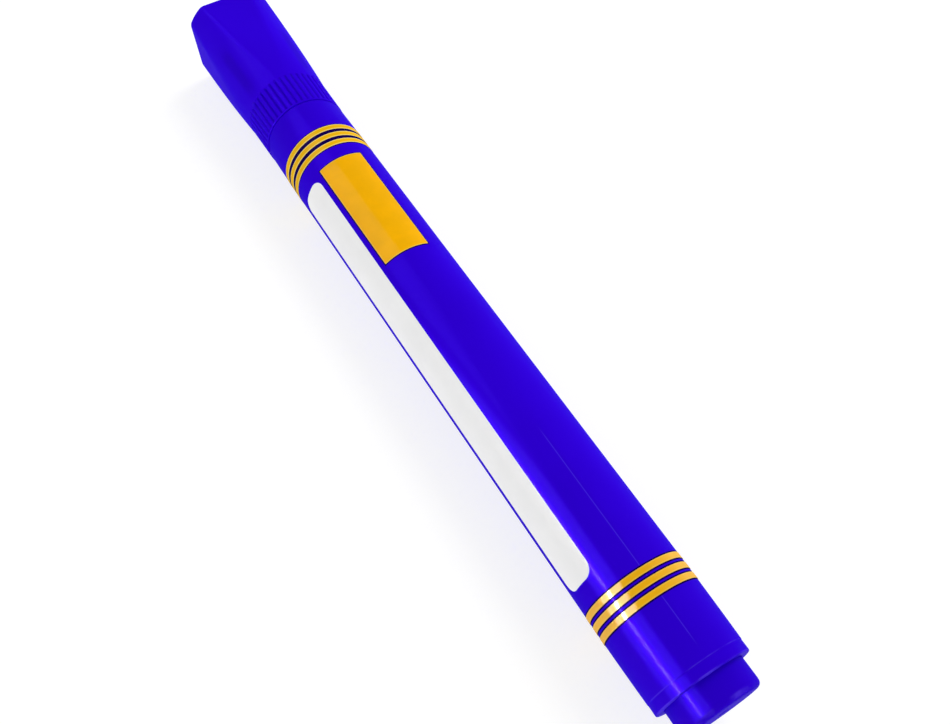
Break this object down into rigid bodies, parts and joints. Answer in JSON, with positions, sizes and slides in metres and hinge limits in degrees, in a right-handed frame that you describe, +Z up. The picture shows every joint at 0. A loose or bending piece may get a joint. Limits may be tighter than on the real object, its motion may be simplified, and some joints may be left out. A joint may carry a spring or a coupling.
{
  "type": "permanent marker",
  "caption": "Round plastic permanent marker with a pull-off cap that flares into flats against rolling, a ribbed grip band, printed rings and blank printed panels.",
  "frame": {"origin": "middle of the marker's length, on the surface that it lies on", "axes": "+X along the marker from the tail plug to the cap's end, +Z up and square to one flat of the cap"},
  "size_m": [0.1402, 0.0148, 0.0149],
  "materials": {
    "barrel_plastic": "glossy moulded violet-blue polypropylene",
    "cap_plastic": "semi-gloss moulded violet-blue polypropylene",
    "front_plastic": "satin moulded violet-blue polypropylene",
    "gold_foil": "glossy golden yellow print",
    "white_foil": "glossy white print",
    "nib_felt": "bonded fibre stained with blue ink",
    "reservoir_fibre": "bundled fibre soaked with blue ink",
    "film": "thin clear wrap",
    "seal_plastic": "natural translucent polyethylene"
  },
  "bodies": {
    "barrel": {"barrel": "barrel_plastic", "tail_plug": "barrel_plastic", "front_section": "front_plastic", "nib": "nib_felt", "ink_reservoir": "reservoir_fibre", "reservoir_film": "film", "front_ring_1": "gold_foil", "front_ring_2": "gold_foil", "front_ring_3": "gold_foil", "tail_ring_1": "gold_foil", "tail_ring_2": "gold_foil", "tail_ring_3": "gold_foil", "gold_panel": "gold_foil", "white_panel": "white_foil"},
    "cap": {"cap_shell": "cap_plastic", "inner_cap": "seal_plastic"}
  },
  "joints": [
    {"name": "cap_pull", "type": "slide", "parent": "barrel", "child": "cap", "axis": [1, 0, 0], "range_m": [0, 0.045]}
  ]
}
